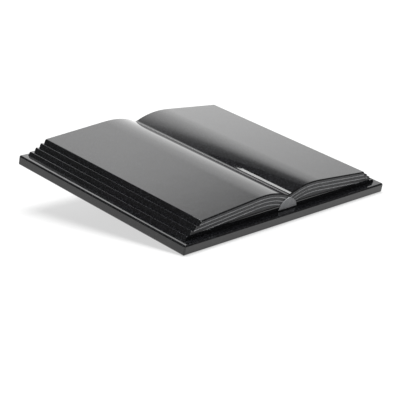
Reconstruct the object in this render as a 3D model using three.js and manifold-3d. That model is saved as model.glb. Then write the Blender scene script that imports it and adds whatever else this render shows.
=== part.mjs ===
// Granite book memorial: an open book carved from one block of black granite,
// glued on a thin polished slab that a small foot under its back tilts towards the reader.
// Millimetres. +X to the right along the front edge, +Y away from the reader, +Z up.
// The origin is on the ground, in the middle of the bounding box.

import * as THREE from 'three';
import { mergeVertices } from 'three/addons/utils/BufferGeometryUtils.js';
import Module from 'manifold-3d';

const wasm = await Module();
wasm.setup();

// The slab and how it lies
const slabWidth = 400;
const slabDepth = 300;
const slabThickness = 13.3;
const slabArris = 1.1;
const tilt = THREE.MathUtils.degToRad(12);
const glueJoint = 0.3;

// The book's place on the slab
const sideMargin = 10.4;
const frontMargin = 10.4;
const backMargin = 6.2;

// Heights of the book over the slab's upper face
const gutterHeight = 18.2;
const crestHeight = 28.2;
const foreEdgeHeight = 19.3;

// The page surface, by distance from the gutter
const crestOffset = 47.8;
const pageHalfWidth = 164;
const pageFall = THREE.MathUtils.degToRad(4.7);
const flankSteps = 10;
const fallSteps = 4;

// The stepped fore edge: bundles of leaves, each set out beyond the one above it
const bundles = 4;
const bundleSetOut = 7.6;
const bundleDrop = 4.75;
const edgeLean = THREE.MathUtils.degToRad(18);
const treadFall = THREE.MathUtils.degToRad(10);

// The end faces
const pageArris = 1.4;
const coverProud = 1.2;
const coverMiddleHeight = 7.3;
const coverArchRise = 3;
const coverSteps = 16;
const scoreWidth = 1;
const scoreDepth = 0.4;
const scoreSpacing = 5.1;
const scoreSpacingAtEdge = 4.75;
const scoreSteps = 22;

// The head of the spine, a rounded arch over the cover
const spineHalfWidth = 18;
const spineShoulderHalfWidth = 14;
const spineShoulderHeight = 13.3;
const spineHeight = 16;
const spineFootHeight = 1.6;
const spineProud = 0.3;
const spineThickness = 3;
const spineSteps = 7;

// The foot under the back
const footWidth = 120;
const footFront = 196;
const footBack = 256;
const footArris = 1.2;

// How far a cutting or joining shape runs past what it cuts or joins
const overrun = 1;

const blockHalfWidth = slabWidth / 2 - sideMargin;

// The slab's upper face leans about its front edge, which is this high over the ground
// when the lower arris touches it, this far back.
const upperFaceHeight = slabThickness * Math.cos(tilt) - slabArris * Math.sin(tilt);
const groundLine = slabThickness * Math.sin(tilt) + slabArris * Math.cos(tilt);

// The flank is one arc from the gutter up to the crest, where it is level.
const flankRise = crestHeight - gutterHeight;
const flankRadius = (crestOffset ** 2 + flankRise ** 2) / (2 * flankRise);
const flankAngle = Math.asin(crestOffset / flankRadius);

// Beyond the crest an arc turns into the straight fall to the fore edge.
const fallRadius = ((pageHalfWidth - crestOffset) * Math.tan(pageFall) - (crestHeight - foreEdgeHeight))
  / (1 / Math.cos(pageFall) - 1);
const fallArcEnd = crestOffset + fallRadius * Math.sin(pageFall);

// Height of the page surface at a distance from the gutter.
function pageTop(distance) {
  if (distance > fallArcEnd) return foreEdgeHeight + (pageHalfWidth - distance) * Math.tan(pageFall);
  const radius = distance < crestOffset ? flankRadius : fallRadius;
  return crestHeight - radius + Math.sqrt(radius ** 2 - (distance - crestOffset) ** 2);
}

// Points along the page surface from the gutter to the top of the fore edge.
function pagePoints() {
  const points = [];
  for (let i = 0; i <= flankSteps; i++) {
    const angle = flankAngle * (1 - i / flankSteps);
    points.push(new THREE.Vector2(crestOffset - flankRadius * Math.sin(angle),
      crestHeight - flankRadius * (1 - Math.cos(angle))));
  }
  for (let i = 1; i <= fallSteps; i++) {
    const angle = pageFall * i / fallSteps;
    points.push(new THREE.Vector2(crestOffset + fallRadius * Math.sin(angle),
      crestHeight - fallRadius * (1 - Math.cos(angle))));
  }
  points.push(new THREE.Vector2(pageHalfWidth, foreEdgeHeight));
  return points;
}

// The upper outer corner of a bundle of leaves, counted from the top.
function bundleCorner(index) {
  return new THREE.Vector2(pageHalfWidth + index * bundleSetOut, foreEdgeHeight - index * bundleDrop);
}

// The inner corner under a bundle, where its leaning edge meets the tread of the next,
// which falls inwards.
function creaseUnder(index) {
  const square = Math.cos(edgeLean) * Math.cos(treadFall) + Math.sin(edgeLean) * Math.sin(treadFall);
  const length = (bundleSetOut * Math.sin(treadFall) + bundleDrop * Math.cos(treadFall)) / square;
  return bundleCorner(index).add(
    new THREE.Vector2(Math.sin(edgeLean), -Math.cos(edgeLean)).multiplyScalar(length));
}

// One half of the book's outline, seen from the front, from the gutter round to the base.
function halfOutline() {
  const points = pagePoints();
  for (let i = 0; i < bundles - 1; i++) {
    points.push(creaseUnder(i), bundleCorner(i + 1));
  }
  points.push(new THREE.Vector2(blockHalfWidth, glueJoint));
  return points;
}

// A closed outline from one half and its mirror image.
function wholeOutline(half) {
  const mirrored = half.filter((p) => p.x > 0).map((p) => new THREE.Vector2(-p.x, p.y)).reverse();
  return new THREE.Shape([...mirrored, ...half]);
}

// Height of the cover's upper edge: an arch, highest at the spine.
function coverTop(distance) {
  return coverMiddleHeight - coverArchRise * (distance / blockHalfWidth) ** 2;
}

// The cover's share of the end face, wider than the book, which trims it.
function coverShape() {
  const reach = blockHalfWidth + overrun;
  const points = [new THREE.Vector2(reach, glueJoint), new THREE.Vector2(-reach, glueJoint)];
  for (let i = 0; i <= coverSteps; i++) {
    const x = reach * (2 * i / coverSteps - 1);
    points.push(new THREE.Vector2(x, coverTop(Math.abs(x))));
  }
  return new THREE.Shape(points.reverse());
}

// The head of the spine: an arch with drawn-in shoulders.
function spineShape() {
  return new THREE.Shape()
    .moveTo(-spineHalfWidth, spineFootHeight)
    .lineTo(spineHalfWidth, spineFootHeight)
    .quadraticCurveTo(spineShoulderHalfWidth, spineShoulderHeight, 0, spineHeight)
    .quadraticCurveTo(-spineShoulderHalfWidth, spineShoulderHeight, -spineHalfWidth, spineFootHeight);
}

// One line between two bundles on the end face: it follows the page surface at a
// number of spacings below it, and runs out into the crease of the fore edge.
function scoreShape(number, side) {
  const end = creaseUnder(number - 1).x + overrun;
  const middle = [];
  for (let i = 0; i <= scoreSteps; i++) {
    const x = end * i / scoreSteps;
    const spacing = THREE.MathUtils.lerp(scoreSpacing, scoreSpacingAtEdge, i / scoreSteps);
    middle.push(new THREE.Vector2(side * x, pageTop(x) - number * spacing));
  }
  const raised = middle.map((p) => new THREE.Vector2(p.x, p.y + scoreWidth / 2));
  const lowered = middle.map((p) => new THREE.Vector2(p.x, p.y - scoreWidth / 2));
  return new THREE.Shape([...raised, ...lowered.reverse()]);
}

// A flat shape drawn in X and Z, made solid from one distance back to another.
function alongBook(shape, front, back, arris = 0) {
  const geometry = new THREE.ExtrudeGeometry(shape, {
    depth: back - front - 2 * arris,
    bevelEnabled: arris > 0,
    bevelThickness: arris,
    bevelSize: arris,
    bevelOffset: -arris,
    bevelSegments: 1,
    curveSegments: spineSteps,
  });
  geometry.rotateX(Math.PI / 2);
  geometry.translate(0, back - arris, 0);
  return geometry;
}

function solid(geometry) {
  const bare = geometry.clone();
  bare.deleteAttribute('normal');
  bare.deleteAttribute('uv');
  const merged = mergeVertices(bare);
  return new wasm.Manifold(new wasm.Mesh({
    numProp: 3,
    vertProperties: merged.attributes.position.array,
    triVerts: Uint32Array.from(merged.index.array),
  }));
}

function geometryOf(manifold) {
  const mesh = manifold.getMesh();
  const geometry = new THREE.BufferGeometry();
  geometry.setAttribute('position', new THREE.BufferAttribute(mesh.vertProperties, 3));
  geometry.setIndex(new THREE.BufferAttribute(mesh.triVerts, 1));
  geometry.computeVertexNormals();
  return geometry;
}

function stone(name, geometry, color, roughness) {
  const mesh = new THREE.Mesh(geometry, new THREE.MeshStandardMaterial({ color, roughness, metalness: 0 }));
  mesh.name = name;
  return mesh;
}

// The carved book: pages with eased arrises, scored on both ends, over a cover that
// stands a little proud, with the head of the spine on each end.
function book() {
  const outline = wholeOutline(halfOutline());
  const front = frontMargin;
  const back = slabDepth - backMargin;
  let pages = solid(alongBook(outline, front + coverProud, back - coverProud, pageArris));
  for (let number = 1; number < bundles; number++) {
    for (const side of [-1, 1]) {
      const score = scoreShape(number, side);
      const frontFloor = front + coverProud + scoreDepth;
      const backFloor = back - coverProud - scoreDepth;
      pages = pages.subtract(solid(alongBook(score, front - overrun, frontFloor)));
      pages = pages.subtract(solid(alongBook(score, backFloor, back + overrun)));
    }
  }
  const cover = solid(alongBook(outline, front, back))
    .intersect(solid(alongBook(coverShape(), front - overrun, back + overrun)));
  const frontSpine = alongBook(spineShape(), front - spineProud, front - spineProud + spineThickness);
  const backSpine = alongBook(spineShape(), back + spineProud - spineThickness, back + spineProud);
  return geometryOf(pages.add(cover).add(solid(frontSpine)).add(solid(backSpine)));
}

// The slab, its long edges on X and its upper face at z = 0.
function slab() {
  const shape = new THREE.Shape()
    .moveTo(-slabWidth / 2, 0)
    .lineTo(slabWidth / 2, 0)
    .lineTo(slabWidth / 2, slabDepth)
    .lineTo(-slabWidth / 2, slabDepth)
    .closePath();
  const geometry = new THREE.ExtrudeGeometry(shape, {
    depth: slabThickness - 2 * slabArris,
    bevelThickness: slabArris,
    bevelSize: slabArris,
    bevelOffset: -slabArris,
    bevelSegments: 1,
  });
  geometry.translate(0, 0, slabArris - slabThickness);
  return geometry;
}

// The foot stands upright on the ground, its top cut to the slope of the slab.
function foot() {
  const underside = (y) => (y - groundLine) * Math.tan(tilt) - glueJoint / Math.cos(tilt);
  const shape = new THREE.Shape()
    .moveTo(footFront, 0)
    .lineTo(footBack, 0)
    .lineTo(footBack, underside(footBack))
    .lineTo(footFront, underside(footFront))
    .closePath();
  const geometry = new THREE.ExtrudeGeometry(shape, {
    depth: footWidth - 2 * footArris,
    bevelThickness: footArris,
    bevelSize: footArris,
    bevelOffset: -footArris,
    bevelSegments: 1,
  });
  geometry.rotateZ(Math.PI / 2);
  geometry.rotateY(Math.PI / 2);
  geometry.translate(footArris - footWidth / 2, 0, 0);
  return geometry;
}

const leaning = new THREE.Group();
leaning.add(stone('base_slab', slab(), 0x17171a, 0.08));
leaning.add(stone('book', book(), 0x1c1c1f, 0.1));
leaning.rotation.x = tilt;
leaning.position.z = upperFaceHeight;

const memorial = new THREE.Group();
memorial.add(leaning);
memorial.add(stone('rear_foot', foot(), 0x1a1a1d, 0.3));
const box = new THREE.Box3().setFromObject(memorial, true);
memorial.position.y = -(box.min.y + box.max.y) / 2;

export default memorial;
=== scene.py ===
import bmesh
import bpy
import math
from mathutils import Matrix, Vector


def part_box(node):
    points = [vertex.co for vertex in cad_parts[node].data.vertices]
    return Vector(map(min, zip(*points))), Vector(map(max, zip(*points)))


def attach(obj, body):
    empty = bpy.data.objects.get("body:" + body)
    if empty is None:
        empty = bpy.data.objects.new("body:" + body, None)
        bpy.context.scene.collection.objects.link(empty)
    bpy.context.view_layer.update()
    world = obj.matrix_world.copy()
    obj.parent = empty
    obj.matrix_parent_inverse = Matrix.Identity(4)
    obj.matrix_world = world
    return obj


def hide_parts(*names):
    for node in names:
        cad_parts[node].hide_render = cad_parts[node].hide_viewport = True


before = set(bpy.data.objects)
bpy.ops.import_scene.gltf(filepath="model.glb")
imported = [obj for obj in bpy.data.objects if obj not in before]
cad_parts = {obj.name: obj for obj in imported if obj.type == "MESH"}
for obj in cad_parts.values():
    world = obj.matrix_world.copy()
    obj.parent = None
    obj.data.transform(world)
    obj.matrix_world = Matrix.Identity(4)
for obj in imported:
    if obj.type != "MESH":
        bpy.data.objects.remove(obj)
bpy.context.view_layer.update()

# The camera stands to the left of the memorial's front, a little above it, and looks down
# across both pages with a long lens.
camera_place = (-1.197, -1.082, 0.4335)
camera_azimuth = math.radians(-47.58)
camera_pitch = math.radians(-14.98)
camera_lens = 111.97

bpy.ops.object.camera_add(
    location=camera_place,
    rotation=(math.pi / 2 + camera_pitch, 0, camera_azimuth),
)
bpy.context.object.data.lens = camera_lens
bpy.context.scene.camera = bpy.context.object
bpy.context.scene.view_settings.view_transform = "Standard"

# Base slab: a thin sheet of black granite, sawn to size, polished on its face and edges and
# eased along every arris, with its underside left as sawn. It leans towards the reader, so
# it is modelled level, with its upper face at zero height, and then leant.
mm = 0.001
tilt = math.radians(12)
slab_width = 400 * mm
slab_depth = 300 * mm
slab_thickness = 13.3 * mm
slab_chamfer = 1.7 * mm
slab_ease = 0.35 * mm
slab_ease_steps = 3
chamfer_edge_angle = math.radians(30)
square_on = 0.99

# The part's plain slab has a smaller arris, whose lower front edge touches the ground. That
# sets where the upper face begins.
plain_slab_arris = 1.1 * mm
front_edge_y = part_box("base_slab")[0].y - plain_slab_arris * math.sin(tilt)
upper_face_height = slab_thickness * math.cos(tilt) - plain_slab_arris * math.sin(tilt)


def pick(piece):
    """Makes one piece the only one selected, and the one that operators act on."""
    bpy.ops.object.select_all(action="DESELECT")
    piece.select_set(True)
    bpy.context.view_layer.objects.active = piece


def select(kind, test):
    """Selects the vertices, edges or faces that pass the test, in edit mode, and nothing else."""
    kinds = ("verts", "edges", "faces")
    bpy.ops.mesh.select_all(action="DESELECT")
    bpy.context.tool_settings.mesh_select_mode = [kind == name for name in kinds]
    mesh = bmesh.from_edit_mesh(bpy.context.object.data)
    for element in getattr(mesh, kind):
        if test(element):
            element.select_set(True)
    mesh.select_flush_mode()
    bmesh.update_edit_mesh(bpy.context.object.data)


def leave_edit_mode(name):
    """Closes edit mode, moves the piece's place into its mesh and names it."""
    bpy.ops.object.mode_set(mode="OBJECT")
    bpy.ops.object.transform_apply()
    bpy.context.object.name = name
    return bpy.context.object


def lean(piece):
    """Tips a level piece about the slab's front edge and keeps its place in its mesh."""
    pick(piece)
    piece.rotation_euler.x = tilt
    piece.location = (0, front_edge_y, upper_face_height)
    bpy.ops.object.transform_apply()


def linear(colour):
    """An sRGB colour, as six hex digits, turned to linear light."""
    channels = [int(colour[i:i + 2], 16) / 255 for i in (0, 2, 4)]
    return [c / 12.92 if c <= 0.04045 else ((c + 0.055) / 1.055) ** 2.4 for c in channels] + [1]


def add_node(tree, kind, settings, links):
    """Adds a node, sets its properties and inputs, and links outputs to its inputs."""
    node = tree.nodes.new(kind)
    for name, value in settings.items():
        if name in node.inputs:
            node.inputs[name].default_value = value
        else:
            setattr(node, name, value)
    for name, output in links.items():
        tree.links.new(output, node.inputs[name])
    return node


# Feldspar and quartz refract at about 1.55. Crystals show in the grains over a level, the
# gloss varies in clouds some grains wide, and a polishing head leaves wide swells.
granite_ior = 1.55
crystal_level = 0.8
crystal_edge = 0.04
gloss_spread = 0.2
cloud_grains = 9
swell_width = 22 * mm


def granite(name, ground, crystal, share, grain, roughness, relief, waviness):
    """Black granite: paler crystals in a dark ground, with the relief and waviness of a finish."""
    material = bpy.data.materials.new(name)
    material.use_nodes = True
    tree = material.node_tree
    shader = tree.nodes["Principled BSDF"]
    shader.inputs["IOR"].default_value = granite_ior
    place = add_node(tree, "ShaderNodeTexCoord", {}, {}).outputs["Object"]
    cells = add_node(tree, "ShaderNodeTexVoronoi", {"Scale": 1 / grain}, {"Vector": place})
    flecks = add_node(tree, "ShaderNodeValToRGB", {}, {"Fac": cells.outputs["Color"]})
    flecks.color_ramp.elements[0].position = crystal_level - crystal_edge - share
    flecks.color_ramp.elements[0].color = linear(ground)
    flecks.color_ramp.elements[1].position = crystal_level
    flecks.color_ramp.elements[1].color = linear(crystal)
    tree.links.new(flecks.outputs["Color"], shader.inputs["Base Color"])
    cloud_scale = 1 / (cloud_grains * grain)
    cloud = add_node(tree, "ShaderNodeTexNoise", {"Scale": cloud_scale}, {"Vector": place})
    gloss = add_node(
        tree, "ShaderNodeMapRange",
        {"To Min": roughness * (1 - gloss_spread), "To Max": roughness * (1 + gloss_spread)},
        {"Value": cloud.outputs["Fac"]},
    )
    tree.links.new(gloss.outputs["Result"], shader.inputs["Roughness"])
    swell = add_node(tree, "ShaderNodeTexNoise", {"Scale": 1 / swell_width}, {"Vector": place})
    wave = add_node(
        tree, "ShaderNodeBump",
        {"Strength": 1, "Distance": waviness},
        {"Height": swell.outputs["Fac"]},
    )
    bump = add_node(
        tree, "ShaderNodeBump",
        {"Strength": 1, "Distance": relief},
        {"Height": cells.outputs["Distance"], "Normal": wave.outputs["Normal"]},
    )
    tree.links.new(bump.outputs["Normal"], shader.inputs["Normal"])
    return material


# Polished black granite, fine grained: a black mirror, a little wavy from the polishing head,
# in which the crystals barely show.
polished_granite = granite(
    "polished_black_granite", ground="060607", crystal="222326", share=0.08, grain=0.8 * mm,
    roughness=0.035, relief=0, waviness=0.05 * mm,
)
# Sawn granite: a dull grey skin of crushed crystals, matt and a little uneven.
sawn_granite = granite(
    "sawn_black_granite", ground="3a3b3d", crystal="6a6b6e", share=0.2, grain=0.6 * mm,
    roughness=0.6, relief=0.05 * mm, waviness=0,
)

bpy.ops.mesh.primitive_cube_add(
    size=1,
    location=(0, slab_depth / 2, -slab_thickness / 2),
    scale=(slab_width, slab_depth, slab_thickness),
)
bpy.ops.object.transform_apply()
bpy.ops.object.mode_set(mode="EDIT")
bpy.ops.mesh.select_all(action="SELECT")
bpy.ops.mesh.bevel(offset=slab_chamfer, segments=1)
select("edges", lambda edge: edge.calc_face_angle() > chamfer_edge_angle)
bpy.ops.mesh.bevel(offset=slab_ease, segments=slab_ease_steps)
slab = leave_edit_mode("polished_slab")
slab.data.materials.append(polished_granite)
slab.data.materials.append(sawn_granite)
for face in slab.data.polygons:
    face.material_index = int(face.normal.z < -square_on)

smooth_angle = math.radians(32)


def finish_stone(piece):
    """Smooths the eased edges and arcs, and keeps the flat faces flat."""
    pick(piece)
    bpy.ops.object.shade_smooth_by_angle(angle=smooth_angle)
    bpy.ops.object.modifier_add(type="WEIGHTED_NORMAL")
    piece.modifiers[-1].keep_sharp = True
    bpy.ops.object.modifier_apply(modifier=piece.modifiers[-1].name)


finish_stone(slab)
lean(slab)
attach(slab, "root")
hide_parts("base_slab")

# Book: one block of the same granite, carved as an open book and glued on the slab. The
# pages swell from the gutter to a crest and fall to stepped fore edges. Their ends are
# honed and scored, over a polished cover, with the head of the spine in the middle.
side_margin = 10.4 * mm
front_margin = 10.4 * mm
back_margin = 6.2 * mm
block_half_width = slab_width / 2 - side_margin
book_front = front_margin
book_back = slab_depth - back_margin
book_middle = (book_front + book_back) / 2
cover_proud = 1.2 * mm
page_front = book_front + cover_proud
page_back = book_back - cover_proud

gutter_height = 18.2 * mm
crest_height = 28.2 * mm
fore_edge_height = 19.3 * mm
crest_offset = 47.8 * mm
page_half_width = 164 * mm
page_fall = math.radians(4.7)
flank_steps = 40
fall_steps = 8
gutter_radius = 8 * mm
gutter_steps = 6

# The flanks' arcs would meet in a point in the gutter, and a small arc that touches both
# rounds it off.
flank_rise = crest_height - gutter_height
flank_radius = (crest_offset ** 2 + flank_rise ** 2) / (2 * flank_rise)
gutter_turn = math.asin(crest_offset / (flank_radius + gutter_radius))
gutter_centre = crest_height - flank_radius + (flank_radius + gutter_radius) * math.cos(gutter_turn)
page_run = page_half_width - crest_offset
page_drop = crest_height - fore_edge_height
fall_radius = (page_run * math.tan(page_fall) - page_drop) / (1 / math.cos(page_fall) - 1)
fall_arc_end = crest_offset + fall_radius * math.sin(page_fall)

bundles = 4
bundle_set_out = 7.6 * mm
bundle_drop = 4.75 * mm
edge_lean = math.radians(18)
tread_fall = math.radians(10)
riser = (
    (bundle_set_out * math.sin(tread_fall) + bundle_drop * math.cos(tread_fall))
    / math.cos(edge_lean - tread_fall)
)
edge_ease = 0.7 * mm
edge_ease_steps = 3
page_arris = 1.4 * mm

# An edge is a corner when it turns by more than the corner angle, and two faces are one when
# they turn by less than the flat angle. A hair is the slack when a place is compared, and
# points within the seam gap are joined.
corner_angle = math.radians(50)
flat_angle = math.radians(0.05)
hair = 0.1 * mm
seam_gap = 0.01 * mm


def page_top(distance):
    """Height of the page surface at a distance from the gutter, before the gutter is rounded."""
    if distance > fall_arc_end:
        return fore_edge_height + (page_half_width - distance) * math.tan(page_fall)
    radius = flank_radius if distance < crest_offset else fall_radius
    return crest_height - radius + math.sqrt(radius ** 2 - (distance - crest_offset) ** 2)


def crease_under(bundle):
    """Distance and height of the inner corner under a bundle of leaves, counted from the top."""
    return (
        page_half_width + bundle * bundle_set_out + riser * math.sin(edge_lean),
        fore_edge_height - bundle * bundle_drop - riser * math.cos(edge_lean),
    )


def start_outline(x, y, z):
    """Opens edit mode on a single vertex, from which an outline is drawn by extruding."""
    bpy.ops.mesh.primitive_plane_add(size=mm, location=(x, y, z))
    bpy.ops.object.mode_set(mode="EDIT")
    select("verts", lambda vertex: True)
    bpy.ops.mesh.merge(type="CENTER")


def draw_points(start, points):
    """Draws an outline from its start through points, each given across and up."""
    previous = start
    for point in points:
        step = (point[0] - previous[0], 0, point[1] - previous[1])
        bpy.ops.mesh.extrude_vertices_move(TRANSFORM_OT_translate={"value": step})
        previous = point


def fill_outline(depth):
    """Closes the outline, fills it and gives it its depth from front to back."""
    mesh = bmesh.from_edit_mesh(bpy.context.object.data)
    ends = [vertex.index for vertex in mesh.verts if len(vertex.link_edges) == 1]
    select("verts", lambda vertex: vertex.index in ends)
    bpy.ops.mesh.edge_face_add()
    bpy.ops.mesh.select_all(action="SELECT")
    bpy.ops.mesh.edge_face_add()
    bpy.ops.mesh.extrude_region_move(TRANSFORM_OT_translate={"value": (0, depth, 0)})
    bpy.ops.mesh.select_all(action="SELECT")
    bpy.ops.mesh.normals_make_consistent(inside=False)


# Half of the block's outline, from the rounded gutter over the crest and down the stepped
# fore edge to the base, mirrored in the gutter once it has its depth.
start_outline(0, page_front, gutter_centre - gutter_radius)
bpy.ops.mesh.spin(
    steps=gutter_steps, angle=gutter_turn, axis=(0, 1, 0),
    center=(0, page_front, gutter_centre),
)
bpy.ops.mesh.spin(
    steps=flank_steps, angle=-gutter_turn, axis=(0, 1, 0),
    center=(crest_offset, page_front, crest_height - flank_radius),
)
bpy.ops.mesh.spin(
    steps=fall_steps, angle=-page_fall, axis=(0, 1, 0),
    center=(crest_offset, page_front, crest_height - fall_radius),
)
stepped_edge = [(page_half_width, fore_edge_height)]
for bundle in range(bundles - 1):
    stepped_edge.append(crease_under(bundle))
    stepped_edge.append((
        page_half_width + (bundle + 1) * bundle_set_out,
        fore_edge_height - (bundle + 1) * bundle_drop,
    ))
last_corner = stepped_edge[-1]
stepped_edge.append((block_half_width, 0))
stepped_edge.append((0, 0))
draw_points((fall_arc_end, page_top(fall_arc_end)), stepped_edge)
fill_outline(page_back - page_front)
select("faces", lambda face: face.normal.x < -square_on and face.calc_center_median().x < hair)
bpy.ops.mesh.delete(type="ONLY_FACE")
book = leave_edit_mode("carved_book")
bpy.ops.object.modifier_add(type="MIRROR")
book.modifiers[-1].merge_threshold = seam_gap
bpy.ops.object.modifier_apply(modifier=book.modifiers[-1].name)

# The pages end in a polished chamfer, and the corners of the fore edges are eased with a
# rubbing block.
bpy.ops.object.mode_set(mode="EDIT")
bpy.ops.mesh.select_all(action="SELECT")
bpy.ops.mesh.dissolve_limited(angle_limit=flat_angle)
select("edges", lambda edge: (
    edge.calc_face_angle() > corner_angle
    and all(abs(vertex.co.x) < page_half_width + hair for vertex in edge.verts)
    and edge.verts[0].co.y == edge.verts[1].co.y
))
bpy.ops.mesh.bevel(offset=page_arris, segments=1)
select("edges", lambda edge: (
    edge.calc_face_angle_signed() > corner_angle
    and any(vertex.co.z > hair for vertex in edge.verts)
))
bpy.ops.mesh.bevel(offset=edge_ease, segments=edge_ease_steps)
book = leave_edit_mode("carved_book")

# Honed granite: rubbed flat and left dull, so it is grey beside the polish.
honed_granite = granite(
    "honed_black_granite", ground="1a1b1d", crystal="2a2b2e", share=0.2, grain=0.9 * mm,
    roughness=0.5, relief=0.01 * mm, waviness=0,
)
# Scored granite: the crushed stone in a cut line, paler than the honed face round it.
scored_granite = granite(
    "scored_black_granite", ground="acadaf", crystal="c4c5c7", share=0.2, grain=0.9 * mm,
    roughness=0.8, relief=0.03 * mm, waviness=0,
)
# Frosted granite: pecked with a fine point, an even light grey.
frosted_granite = granite(
    "frosted_black_granite", ground="7c7d7f", crystal="949597", share=0.2, grain=0.9 * mm,
    roughness=0.7, relief=0.03 * mm, waviness=0,
)

for material in (polished_granite, honed_granite):
    book.data.materials.append(material)
for face in book.data.polygons:
    face.material_index = int(abs(face.normal.y) > square_on)


def carve(piece, other, operation):
    """Cuts another shape out of the piece, or joins it on, with that shape's own finish."""
    pick(piece)
    bpy.ops.object.modifier_add(type="BOOLEAN")
    cut = piece.modifiers[-1]
    cut.operation = operation
    cut.solver = "EXACT"
    cut.material_mode = "TRANSFER"
    cut.object = other
    bpy.ops.object.modifier_apply(modifier=cut.name)
    bpy.data.objects.remove(other)


def copy_to_back(piece):
    """A copy turned half round, for the book's other end."""
    pick(piece)
    bpy.ops.object.duplicate(linked=False)
    bpy.ops.transform.rotate(value=math.pi, orient_axis="Z", center_override=(0, book_middle, 0))
    bpy.ops.object.transform_apply()
    return bpy.context.object


# Three lines scored across each page end divide the leaves into four bundles. Each follows
# the page surface and runs out in a crease of the fore edge.
score_width = 1 * mm
score_depth = 0.4 * mm
score_spacing = 5.1 * mm
score_spacing_at_edge = 4.75 * mm
score_steps = 46
overrun = 1 * mm

for number in range(1, bundles):
    reach = crease_under(number - 1)[0] + overrun
    line = []
    for i in range(score_steps + 1):
        x = reach * (2 * i / score_steps - 1)
        along = abs(x) / reach
        spacing = score_spacing + (score_spacing_at_edge - score_spacing) * along
        line.append((x, page_top(abs(x)) - number * spacing + score_width / 2))
    start_outline(line[0][0], page_front - overrun, line[0][1])
    draw_points(line[0], line[1:])
    bpy.ops.mesh.select_all(action="SELECT")
    bpy.ops.mesh.extrude_edges_move(TRANSFORM_OT_translate={"value": (0, 0, -score_width)})
    bpy.ops.mesh.select_all(action="SELECT")
    bpy.ops.mesh.extrude_region_move(
        TRANSFORM_OT_translate={"value": (0, overrun + score_depth, 0)})
    bpy.ops.mesh.select_all(action="SELECT")
    bpy.ops.mesh.normals_make_consistent(inside=False)
    score = leave_edit_mode("score_line")
    score.data.materials.append(scored_granite)
    carve(book, copy_to_back(score), "DIFFERENCE")
    carve(book, score, "DIFFERENCE")

# The cover's ends stand a little proud of the page ends, under a low arch.
cover_middle_height = 7.3 * mm
cover_edge_height = 4.4 * mm
cover_steps = 24
cover_bite = 1 * mm
cover_lean = (last_corner[0] - block_half_width) / last_corner[1]
cover_reach = block_half_width + cover_lean * cover_edge_height
cover_rise = cover_middle_height - cover_edge_height
cover_radius = (cover_reach ** 2 + cover_rise ** 2) / (2 * cover_rise)

start_outline(-cover_reach, book_front, cover_edge_height)
bpy.ops.mesh.spin(
    steps=cover_steps, angle=-2 * math.asin(cover_reach / cover_radius), axis=(0, 1, 0),
    center=(0, book_front, cover_middle_height - cover_radius),
)
draw_points((cover_reach, cover_edge_height), [(block_half_width, 0), (-block_half_width, 0)])
fill_outline(cover_proud + page_arris + cover_bite)
cover_end = leave_edit_mode("cover_end")
cover_end.data.materials.append(polished_granite)
carve(book, copy_to_back(cover_end), "UNION")
carve(book, cover_end, "UNION")

# The head of the spine: an arch with drawn-in shoulders over the cover, its face frosted.
spine_half_width = 18 * mm
spine_shoulder_half_width = 14 * mm
spine_shoulder_height = 13.3 * mm
spine_height = 16 * mm
spine_foot_height = 1.6 * mm
spine_proud = 0.3 * mm
spine_thickness = 3 * mm
spine_steps = 12
spine_front = book_front - spine_proud

arch = []
for i in range(1, spine_steps + 1):
    t = i / spine_steps
    foot_share = (1 - t) ** 2
    shoulder_share = 2 * t * (1 - t)
    arch.append((
        foot_share * spine_half_width + shoulder_share * spine_shoulder_half_width,
        foot_share * spine_foot_height + shoulder_share * spine_shoulder_height + t ** 2 * spine_height,
    ))
arch += [(-x, z) for x, z in reversed(arch[:-1])]
arch.append((-spine_half_width, spine_foot_height))
start_outline(spine_half_width, spine_front, spine_foot_height)
draw_points((spine_half_width, spine_foot_height), arch)
fill_outline(spine_thickness)
spine_head = leave_edit_mode("spine_head")
spine_head.data.materials.append(frosted_granite)
carve(book, copy_to_back(spine_head), "UNION")
carve(book, spine_head, "UNION")

finish_stone(book)
lean(book)
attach(book, "root")
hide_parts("book")

# Rear foot: a plain block of the same granite, left as sawn but for the eased arrises of its
# ends. It is glued under the back of the slab, with its top cut to the slab's slope.
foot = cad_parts["rear_foot"]
foot.material_slots[0].material = sawn_granite

# The floor is a light table: pale frosted glass lit softly from below, which keeps the
# shadow on it faint.
floor_size = 12
table_colour = "767676"
table_glow = 0.62
bpy.ops.mesh.primitive_plane_add(size=floor_size, location=(0, 0, 0))
floor = bpy.context.object
floor.name = "light_table"
table_glass = bpy.data.materials.new("lit_frosted_glass")
table_glass.use_nodes = True
shader = table_glass.node_tree.nodes["Principled BSDF"]
shader.inputs["Base Color"].default_value = linear(table_colour)
shader.inputs["Roughness"].default_value = 1
shader.inputs["Specular IOR Level"].default_value = 0
shader.inputs["Emission Color"].default_value = (1, 1, 1, 1)
shader.inputs["Emission Strength"].default_value = table_glow
floor.data.materials.append(table_glass)

# A broad soft light hangs straight overhead and throws the soft shadow.
overhead_strength = 6.8
overhead_spread = math.radians(46)
overhead_height = 2
bpy.ops.object.light_add(type="SUN", location=(0, 0, overhead_height))
bpy.context.object.data.energy = overhead_strength
bpy.context.object.data.angle = overhead_spread

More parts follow.
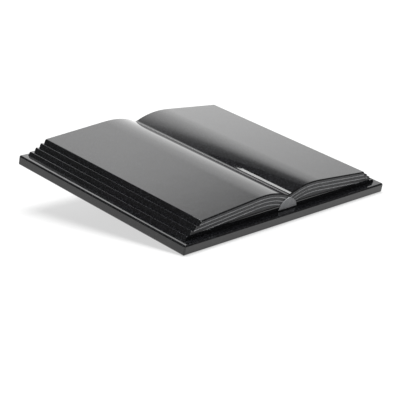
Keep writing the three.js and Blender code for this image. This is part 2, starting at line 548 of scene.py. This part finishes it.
# A strip light hangs over the back of the memorial, to the right. It glints in the steep
# flank of the right page, beside the front half of the gutter.
strip_light_place = (0.464, 0.37, 1.35)
strip_light_width = 0.08
strip_light_length = 0.35
strip_light_strength = 7
bpy.ops.mesh.primitive_plane_add(size=1, location=strip_light_place)
strip_light = bpy.context.object
strip_light.name = "strip_light"
strip_light.scale = (strip_light_width, strip_light_length, 1)
bpy.ops.object.transform_apply()
strip_light.visible_camera = False
strip_light.visible_shadow = False
strip_glow = bpy.data.materials.new("lit_strip")
strip_glow.use_nodes = True
tree = strip_glow.node_tree
tree.nodes.clear()
glow = add_node(tree, "ShaderNodeEmission", {"Strength": strip_light_strength}, {})
add_node(tree, "ShaderNodeOutputMaterial", {}, {"Surface": glow.outputs["Emission"]})
strip_light.data.materials.append(strip_glow)

# A lit white wall behind the memorial, fading towards its top and its right end. The
# polished pages mirror it.
wall_distance = 1.1
wall_left = -0.7
wall_right = 3
wall_height = 2.3
wall_brightness = 1.83
dimming_starts_at = 1.1
dimming_ends_at = 2.4
left_brightness = 1.1 * wall_brightness
right_brightness = 0.67 * wall_brightness

# The wall's tones at its foot, at its top, and at shares of its height between them.
wall_foot_tone = 0.84
wall_top_tone = 0.15
wall_tones = (
    (0.16, 0.86), (0.3, 0.9), (0.4, 0.92), (0.55, 0.93), (0.62, 0.9), (0.68, 0.8), (0.75, 0.63),
    (0.81, 0.38), (0.88, 0.23),
)
bpy.ops.mesh.primitive_plane_add(
    size=1,
    location=((wall_left + wall_right) / 2, wall_distance, wall_height / 2),
    rotation=(math.pi / 2, 0, 0),
)
wall = bpy.context.object
wall.name = "studio_wall"
wall.scale = (wall_right - wall_left, wall_height, 1)
bpy.ops.object.transform_apply()
wall.visible_camera = False
wall.visible_shadow = False
wall_glow = bpy.data.materials.new("lit_studio_wall")
wall_glow.use_nodes = True
tree = wall_glow.node_tree
tree.nodes.clear()
place = add_node(tree, "ShaderNodeTexCoord", {}, {}).outputs["Object"]
across = add_node(tree, "ShaderNodeSeparateXYZ", {}, {"Vector": place})
level = add_node(
    tree, "ShaderNodeMapRange", {"From Max": wall_height}, {"Value": across.outputs["Z"]})
fade = add_node(tree, "ShaderNodeValToRGB", {}, {"Fac": level.outputs["Result"]})
fade.color_ramp.elements[0].position = 0
fade.color_ramp.elements[0].color = (wall_foot_tone, wall_foot_tone, wall_foot_tone, 1)
fade.color_ramp.elements[1].position = 1
fade.color_ramp.elements[1].color = (wall_top_tone, wall_top_tone, wall_top_tone, 1)
for position, tone in wall_tones:
    stop = fade.color_ramp.elements.new(position)
    stop.color = (tone, tone, tone, 1)
dimming = add_node(
    tree, "ShaderNodeMapRange",
    {
        "From Min": dimming_starts_at, "From Max": dimming_ends_at,
        "To Min": left_brightness, "To Max": right_brightness,
    },
    {"Value": across.outputs["X"]},
)
glow = add_node(
    tree, "ShaderNodeEmission", {},
    {"Color": fade.outputs["Color"], "Strength": dimming.outputs["Result"]})
add_node(tree, "ShaderNodeOutputMaterial", {}, {"Surface": glow.outputs["Emission"]})
wall.data.materials.append(wall_glow)

# The rest of the studio is dim, but shows as plain white behind the memorial.
studio_dimness = 0.14
world = bpy.data.worlds.new("studio")
bpy.context.scene.world = world
world.use_nodes = True
tree = world.node_tree
tree.nodes.clear()
dim = add_node(tree, "ShaderNodeBackground", {"Color": (1, 1, 1, 1), "Strength": studio_dimness}, {})
white = add_node(tree, "ShaderNodeBackground", {"Color": (1, 1, 1, 1), "Strength": 1}, {})
ray = add_node(tree, "ShaderNodeLightPath", {}, {})
mix = add_node(tree, "ShaderNodeMixShader", {}, {"Fac": ray.outputs["Is Camera Ray"]})
tree.links.new(dim.outputs["Background"], mix.inputs[1])
tree.links.new(white.outputs["Background"], mix.inputs[2])
add_node(tree, "ShaderNodeOutputWorld", {}, {"Surface": mix.outputs["Shader"]})
